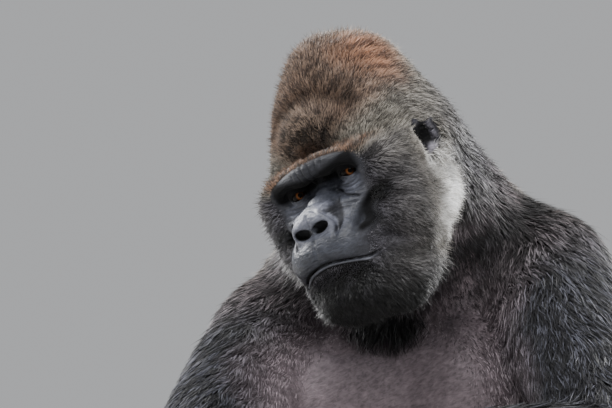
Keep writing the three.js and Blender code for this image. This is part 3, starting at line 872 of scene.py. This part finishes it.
# ---- Coat ----
# Coarse hair over the hide, in thin, flat, tapered locks. Each is a strip of three triangles, rooted
# in the hide, and its tip is held at its own height above it, so that the coat lies along the body.
# It is shortest round the face and on hands and feet, and longest on the arms.

rng = np.random.default_rng(11)


def unit(v):
    return v / (np.linalg.norm(v, axis=-1, keepdims=True) + 1e-9)


def wave(p, size, seed):
    """Smooth numbers from -1 to 1 that change over about the size in millimetres."""
    turns = np.random.default_rng(seed).normal(size=(5, 3))
    phases = np.random.default_rng(seed + 1).uniform(0, 6.28, 5)
    return np.sin(p @ (unit(turns) / size * 3.14).T + phases).sum(1) / 2.5


def lie_of_coat(p, near):
    """The way the hair points, from its root to its tip."""
    q = to_head(p)
    x, y, z = mirrored(q).T
    ways = np.zeros((len(p), near.shape[1], 3))
    away = unit(q - np.array([0, -150, -25]))  # it parts at the nose
    away[:, 2] -= 1.5 * ramp((y + 5) / 70)  # and falls down the back of the head
    away[:, 1] += 0.5 * ramp((z - 20) / 60)
    away[:, 2] -= 1.1 * ramp((x - 45) / 30) * ramp((30 - z) / 30)
    away[:, 2] -= 2.0 * ramp((-z - 70) / 50)  # the beard hangs
    ways[:, HEAD] = unit(away) @ HEAD_TURN.T
    ways[:, NAPE] = unit(np.array([0, 0.35, -1.0]))
    ways[:, TRUNK] = unit(p * (0.0012, 0, 0) + (0, 0, -1))
    for first, body in ((LEFT_LIMBS, LEFT), (RIGHT_LIMBS, RIGHT)):
        shoulder, elbow, wrist = (np.array(body[k], float) for k in ("shoulder", "elbow", "wrist"))
        knee, ankle = np.array(body["knee"], float), np.array(body["ankle"], float)
        hip = HIP * (body["side"], 1, 1)
        side = np.array([body["side"], 0, 0])
        ways[:, first] = unit(unit(elbow - shoulder) + (0, 0, -0.6) + 0.3 * side)
        ways[:, first + 1] = unit(unit(elbow - wrist) + (0, 0, -1.0))
        ways[:, first + 2] = unit(unit(hand_frame(body)[1][0]) + (0, 0, -1.0))
        ways[:, first + 3] = unit(0.6 * unit(knee - hip) + (0, 0, -0.6) + 0.5 * side)
        ways[:, first + 4] = unit(ankle - knee + (0, 30, 0))
        ways[:, first + 5] = unit(foot_frame(body)[1][0] + (0, 0, -0.3))
    return np.einsum("ij,ijk->ik", near, ways)


# Length, height of the tip above the hide, and breadth of the locks of each part, and the breadth of
# the clumps that they gather in, all in millimetres
LOCKS = np.array([(14, 10, 0.95, 6), (27, 13, 1.4, 9), (34, 14, 1.9, 13)]
                 + 2 * [(50, 12, 1.7, 16), (52, 14, 1.8, 16), (15, 3, 1.2, 8),
                        (40, 14, 2.0, 15), (34, 14, 1.9, 13), (15, 4, 1.3, 8)])


def lock_sizes(p, near):
    size = near @ LOCKS
    q = to_head(p)
    m = mirrored(q)
    x, y, z = m.T
    head = near[:, HEAD]
    face = 0.75 * (1 - ramp((-inside_face(q) + 4) / 30)) * (1 - 0.4 * ramp((-20 - q[:, 0]) / 30))
    forehead = 0.5 * ramp((-y - 45) / 30) * ramp((z - 30) / 14) * ramp((116 - z) / 20)
    crest = 0.35 * ramp((z - 100) / 30) * ramp((y + 20) / 40)
    beard = 1.7 * ramp((-z - 106) / 18) * ramp((y + 165) / 50)
    ruff = 0.9 * along_lines(m, RIM, 18, 16)
    cheeks = 0.6 * ramp((x - 64) / 16) * ramp((60 - z) / 40) * ramp((z + 120) / 30)
    cheeks *= 1 - blob(m, EAR - (8, 20, 0), 36, 20)
    before_ear = 0.6 * blob(m, EAR - (4, 16, 0), 20, 16)
    more = crest + np.maximum.reduce([beard, ruff, cheeks])
    less = np.maximum.reduce([face, forehead, before_ear])
    size[:, :3] *= 1 + (head * (more - less))[:, None] * (1, 1, 0.3)
    chest = ramp(0.5 - egg(p, CHEST[0], np.array(CHEST[1]) + 45) / 60)
    chest = np.maximum(chest, ramp(0.6 - egg(p, *COLLAR) / 60))
    throat = ramp(0.6 - egg(p, *THROAT) / 24) * (1 - head)
    size[:, :3] *= 1 - 0.5 * (chest * (1 - head) * (1 - throat))[:, None]
    size[:, :2] *= 1 + 0.6 * throat[:, None]
    size[:, :2] *= 0.3 + 0.7 * ramp((1 - bare_share(p)) * 1.2)[:, None]
    return size


skin_mesh.calc_loop_triangles()
sides = read(skin_mesh.loop_triangles, "vertices", 3, np.int32)
loops = read(skin_mesh.loop_triangles, "loops", 3, np.int32)
skin_normals = read(skin_mesh.vertex_normals, "vector", 3)
skin_uv = read(skin_mesh.uv_layers["OFBake"].data, "uv", 2)
ends = skin_places[sides]
middles = ends.mean(1)
areas = length(np.cross(ends[:, 1] - ends[:, 0], ends[:, 2] - ends[:, 0])) / 2
middle_near = shares(middles)
LEAST_COVER = 0.08  # no hair is rooted where the hide is barer than this
LOWEST_ROOT = 6
covered = 1 - in_turns(bare_share, middles)
covered[covered < LEAST_COVER] = 0
covered[middles[:, 2] < LOWEST_ROOT] = 0
heads = to_head(middles)
owner = middle_near.argmax(1)

PATCH = 0.003  # each lock's patch on the map of the hide
ROOT_DEPTH = 0.8
LOWEST_TIP = 1.0
STRAY_SHARE = 0.12  # of the locks on head and nape, thin ones that stand out over the rest

# A lock has five corners: two at the root, two in its middle and the tip.
LOCK_TRIANGLES = (0, 1, 3, 0, 3, 2, 2, 3, 4)
LOCK_FLAT = ((0, 0), (1, 0), (0, 0.5), (1, 0.5), (0.5, 1))
FROM_ROOT_TO_TIP = (0.42, 0.42, 0.88, 0.88, 1.12)  # hair is paler towards its tip

hair, tree, shader = new_material("gorilla_hair")
paint_layer = add(tree, "ShaderNodeVertexColor", layer_name="markings")
strands = add(tree, "ShaderNodeUVMap", uv_map="strands")
streak = add(tree, "ShaderNodeTexNoise", {"Vector": strands.outputs["UV"], "Scale": 6.0, "Detail": 2})
light_and_dark = stretched(tree, streak.outputs["Fac"], 0.3, 0.7, 0.7, 1.3)
feed(tree, shader, {"Base Color": scaled(tree, paint_layer.outputs["Color"], light_and_dark),
                    "Roughness": 0.5, "IOR": 1.5, "Specular IOR Level": 0.3, "Sheen Weight": 0.1})


def clump_middles(p, size):
    """The middle of the clump that each root belongs to, on a loose lattice."""
    cell = np.floor(p / size[:, None])
    jitter = np.stack([np.sin(cell @ np.array(turns)) * 4375.85 for turns in
                       ((12.99, 78.23, 37.72), (39.35, 11.14, 83.16), (73.16, 52.24, 9.15))], 1)
    return (cell + 0.2 + 0.6 * (jitter - np.floor(jitter))) * size[:, None]


def without(v, normal):
    return v - normal * np.einsum("ij,ij->i", v, normal)[:, None]


def coat_piece(name, here, count):
    weight = areas * here * covered ** 0.8
    finer = 1 / (lock_sizes(middles, middle_near)[:, 2] ** 1.4)
    total = np.cumsum(weight * finer)
    pick = np.searchsorted(total, (np.arange(count) + rng.random(count)) / count * total[-1])
    pick = np.minimum(pick, len(areas) - 1)
    a, b = rng.random(count), rng.random(count)
    flip = a + b > 1
    a[flip], b[flip] = 1 - a[flip], 1 - b[flip]
    mix = np.stack([1 - a - b, a, b], 1)

    def at_roots(values, corners):
        return np.einsum("ij,ijk->ik", mix, values[corners[pick]])

    root, normal = at_roots(skin_places, sides), unit(at_roots(skin_normals, sides))
    uv, near = at_roots(skin_uv, loops), at_roots(near_skin, sides)

    long, high, broad, clump = lock_sizes(root, near).T.copy()
    long = long * rng.uniform(0.6, 1.1, count)
    high = high * rng.uniform(0.5, 1.0, count)
    stray = rng.random(count) < STRAY_SHARE * near[:, (HEAD, NAPE)].sum(1)
    high[stray] *= 1.5
    broad[stray] *= 0.5
    way = unit(without(lie_of_coat(root, near), normal))
    across = np.cross(normal, way)
    swing = 0.25 * wave(root, 34, 5) + 0.2 * wave(root, 13, 8) + rng.normal(0, 0.12, count)
    way = unit(way + across * swing[:, None])
    across = unit(np.cross(normal, way))
    curl = across * (rng.normal(0, 0.06, count) * long)[:, None]
    flat = np.sqrt(np.maximum(long ** 2 - high ** 2, 1))
    gather = without(clump_middles(root, clump) - root, normal)
    gather *= ramp(0.5 * long / clump)[:, None]
    tip = root + way * flat[:, None] + normal * high[:, None] + 0.5 * gather
    lift = np.clip(high - in_turns(skin_mass, tip.astype(np.float32)), -30, 30)
    tip += normal * lift[:, None]
    middle = root + way * 0.45 * flat[:, None] + normal * (0.62 * high + 0.2 * lift)[:, None]
    middle += curl + 0.15 * gather
    for place in (middle, tip):
        place[:, 2] = np.maximum(place[:, 2], LOWEST_TIP)
    roll = rng.normal(0, 0.5, count)[:, None]
    half = (across * np.cos(roll) + normal * np.sin(roll)) * (broad / 2)[:, None]
    sunk = root - normal * ROOT_DEPTH
    points = np.stack([sunk - 0.6 * half, sunk + 0.6 * half, middle - half, middle + half, tip], 1)

    dark, light, share = markings(root, near)
    pale = ramp(share + 0.3 * wave(root, 9, 31)) > rng.random(count)
    colour = np.where(pale[:, None], light, dark)
    colour = colour * (1 + 0.2 * wave(root, 22, 21))[:, None] * rng.uniform(0.82, 1.18, (count, 1))
    colours = np.clip(colour[:, None, :] * np.array(FROM_ROOT_TO_TIP)[None, :, None], 0, 1)

    index = (np.arange(count)[:, None] * 5 + np.array(LOCK_TRIANGLES)).ravel().astype(np.int32)
    mesh = bpy.data.meshes.new(name)
    mesh.vertices.add(5 * count)
    set_places(mesh, points)
    mesh.loops.add(len(index))
    mesh.loops.foreach_set("vertex_index", index)
    mesh.polygons.add(len(index) // 3)
    mesh.polygons.foreach_set("loop_start", np.arange(0, len(index), 3, dtype=np.int32))
    mesh.polygons.foreach_set("use_smooth", np.ones(len(index) // 3, bool))
    mesh.update(calc_edges=True)
    colour_points(mesh, colours.reshape(-1, 3), np.ones(5 * count))
    spread = np.array(LOCK_FLAT)
    patch = uv[:, None, :] + (spread[None] - 0.5) * PATCH
    lock = spread[None] * (1, 0.5) + rng.uniform(0, 90, (count, 1, 2))
    for layer_name, values in (("OFBake", patch), ("strands", lock)):
        layer = mesh.uv_layers.new(name=layer_name)
        layer.data.foreach_set("uv", values.reshape(-1, 2)[index].astype(np.float32).ravel())
    mesh.materials.append(hair)
    piece = put_in_scene(name, mesh)
    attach(piece, "root")


is_head = owner == HEAD
upper = heads[:, 2] > 24 + 0.25 * heads[:, 1]
is_trunk = owner == TRUNK
behind = middles[:, 1] > 0
coat_piece("coat_crown", is_head & upper, 60000)
coat_piece("coat_cheek_left", is_head & ~upper & (heads[:, 0] > 0), 56000)
coat_piece("coat_cheek_right", is_head & ~upper & (heads[:, 0] <= 0), 56000)
coat_piece("coat_neck", owner == NAPE, 50000)
coat_piece("coat_back", is_trunk & behind, 46000)
coat_piece("coat_belly", is_trunk & ~behind, 26000)
for first, side in ((LEFT_LIMBS, "left"), (RIGHT_LIMBS, "right")):
    arm = (owner >= first) & (owner < first + 3)
    leg = (owner >= first + 3) & (owner < first + 6)
    coat_piece("coat_arm_" + side, arm, 52000)
    coat_piece("coat_leg_" + side, leg, 38000)

# ---- Eyes ----
# Wet eyeballs, dark brown all round, with an amber iris of about 12 mm and a bulging front. Each is
# a sphere drawn out a little over the iris and turned to his left, where he looks.

IRIS = 5.8  # radii
PUPIL = 2.7
CORNEA_BULGE = 0.9
GAZE = dict(left=40, right=33)  # how far each eye is turned, in degrees
eye_glass, tree, shader = new_material("wet_amber_eye")
paint_layer = add(tree, "ShaderNodeVertexColor", layer_name="markings")
feed(tree, shader, {"Base Color": paint_layer.outputs["Color"], "Roughness": 0.08, "IOR": 1.38,
                    "Specular IOR Level": 0.08})
for side, where in ((1, "left"), (-1, "right")):
    bpy.ops.mesh.primitive_uv_sphere_add(segments=72, ring_count=48, radius=EYE_RADIUS * MM)
    eye = bpy.context.object
    eye.name = "eyeball_" + where
    v = places(eye.data) / MM
    away = np.hypot(v[:, 0], v[:, 1])
    angle = np.arctan2(v[:, 1], v[:, 0])
    ahead = v[:, 2] > 0
    v = v * (1 + CORNEA_BULGE / EYE_RADIUS * ramp((IRIS + 1.2 - away) / 4) * ahead)[:, None]
    fibres = 1 + 0.25 * np.sin(23 * angle + 2 * np.sin(5 * angle)) * ramp((away - PUPIL) / 2)
    ring = ramp((away - PUPIL) / (IRIS - PUPIL))[:, None]
    iris = (linear("#6a4120") * (1 - ring) + linear("#2a140a") * ring) * fibres[:, None]
    # Painted shade: the iris darkens towards his left side and its top, where the lid and brow shade it.
    iris *= (0.1 + 0.85 * ramp(0.5 - (1.5 * v[:, 0] + 0.5 * v[:, 1]) / IRIS))[:, None]
    white = linear("#0c0705") * (1 - 0.7 * ramp((away - IRIS - 1) / 5))[:, None]
    colour = np.where((ahead & (away < IRIS))[:, None], iris, white)
    colour[ahead & (away < PUPIL)] = linear("#020101")
    colour[ahead & (abs(away - IRIS) < 0.5)] *= 0.35
    colour_points(eye.data, colour, np.ones(len(v)))
    # The iris is made at the sphere's pole, which is turned to the front of the head and then aside.
    v = v @ (turn("Z", GAZE[where]) @ turn("X", 90)).T + EYE * (side, 1, 1)
    set_places(eye.data, v @ HEAD_TURN.T + HEAD_MIDDLE)
    bpy.ops.object.shade_smooth()
    eye.data.materials.append(eye_glass)
    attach(eye, "root")
    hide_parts("eye_" + where)

# ---- Nails ----
# Flat, dark horn plates on all the fingers and toes, arched across and a little along. Each is a cap
# cut from a ball, laid on the end of its digit; those of a hand or foot are joined and thickened.

NAIL_THICK = 0.9
NAIL_SHAPE = (0.95, 0.82, 0.62)  # half length, half breadth and height, for a digit of radius 1
horn, tree, shader = new_material("dark_nail_horn")
place = add(tree, "ShaderNodeTexCoord").outputs["Object"]
ridges = add(tree, "ShaderNodeTexNoise", {"Vector": place, "Scale": 1 / 0.0015, "Detail": 2})
feed(tree, shader, {"Base Color": between(tree, ridges.outputs["Fac"], "#17130f", "#3a322a"),
                    "Roughness": 0.3, "IOR": 1.54})


def nails(name, origin, axes, rows):
    plates = []
    for points, radii in rows:
        radius = radii[-1]
        along = unit(points[-1] - points[-2])
        across = unit(np.cross((0, 0, 1), along))
        out = np.cross(along, across)
        bpy.ops.mesh.primitive_uv_sphere_add(segments=20, ring_count=14, radius=1)
        plate = bpy.context.object
        bpy.ops.object.mode_set(mode="EDIT")
        bpy.ops.mesh.select_all(action="SELECT")
        bpy.ops.mesh.bisect(plane_co=(0, 0, 0.35), plane_no=(0, 0, 1), clear_inner=True)
        bpy.ops.object.mode_set(mode="OBJECT")
        v = places(plate.data) * [size * radius for size in NAIL_SHAPE]
        v += (0.35 * radius, 0, 0.5 * radius)
        v = points[-1] + v @ np.array([along, across, out])
        set_places(plate.data, v @ axes + origin)
        plates.append(plate)
    bpy.ops.object.select_all(action="DESELECT")
    for plate in plates:
        plate.select_set(True)
    bpy.context.view_layer.objects.active = plates[0]
    bpy.ops.object.join()
    piece = bpy.context.object
    piece.name = name
    thick = piece.modifiers.new("thick", "SOLIDIFY")
    thick.thickness = NAIL_THICK * MM
    thick.offset = 1
    bpy.ops.object.modifier_apply(modifier=thick.name)
    bpy.ops.object.shade_smooth()
    piece.data.materials.append(horn)
    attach(piece, "root")


for body, side in ((LEFT, "left"), (RIGHT, "right")):
    nails("nails_hand_" + side, *hand_frame(body), fingers(body))
    nails("nails_foot_" + side, *foot_frame(body), toes())

# ---- Studio ----
# A plain pale floor, five soft lamps and a grey sky, and a camera at the animal's eye height. The
# lamp high on his right is the main one, and two behind him edge the coat.

bpy.ops.mesh.primitive_plane_add(size=22, location=(0, 0, 0))
floor = bpy.context.object
floor.name = "floor"
plaster, tree, shader = new_material("pale_studio_floor")
place = add(tree, "ShaderNodeTexCoord").outputs["Object"]
grain = add(tree, "ShaderNodeTexNoise", {"Vector": place, "Scale": 30.0, "Detail": 3})
feed(tree, shader, {"Base Color": between(tree, grain.outputs["Fac"], "#d2d0cb", "#dcdad6"),
                    "Roughness": 0.75})
floor.data.materials.append(plaster)

FRAME_WIDTH = 0.734  # what the camera sees across, at the head's depth
CAMERA_DISTANCE = 6.0
SENSOR = 36  # the sensor's breadth in millimetres
camera_data = bpy.data.cameras.new("camera")
camera_data.sensor_width = SENSOR
camera_data.lens = SENSOR * CAMERA_DISTANCE / FRAME_WIDTH
camera = put_in_scene("camera", camera_data)
camera.location = (-0.106, -0.28 - CAMERA_DISTANCE, 0.841)
camera.rotation_euler = (math.radians(90), 0, 0)
bpy.context.scene.camera = camera


MIDDLE = Vector((0, -0.15, 0.6))


def soft_light(name, place, width, watts):
    data = bpy.data.lights.new(name, "AREA")
    data.size = width
    data.energy = watts
    light = put_in_scene(name, data)
    light.location = place
    light.rotation_euler = (MIDDLE - light.location).to_track_quat("-Z", "Y").to_euler()


soft_light("key_light", (-0.9, -2.0, 4.2), 2.0, 260)
soft_light("fill_light", (2.8, -2.4, 1.6), 2.6, 30)
soft_light("rim_right", (2.6, 1.4, 2.6), 1.4, 300)
soft_light("eye_light", (0.5, -4.5, 2.2), 0.16, 20)
soft_light("rim_left", (-2.6, 1.6, 2.6), 1.4, 270)
world = bpy.data.worlds.new("studio")
bpy.context.scene.world = world
world.use_nodes = True
feed(world.node_tree, world.node_tree.nodes["Background"],
     {"Color": (0.75, 0.76, 0.78, 1), "Strength": 0.6})
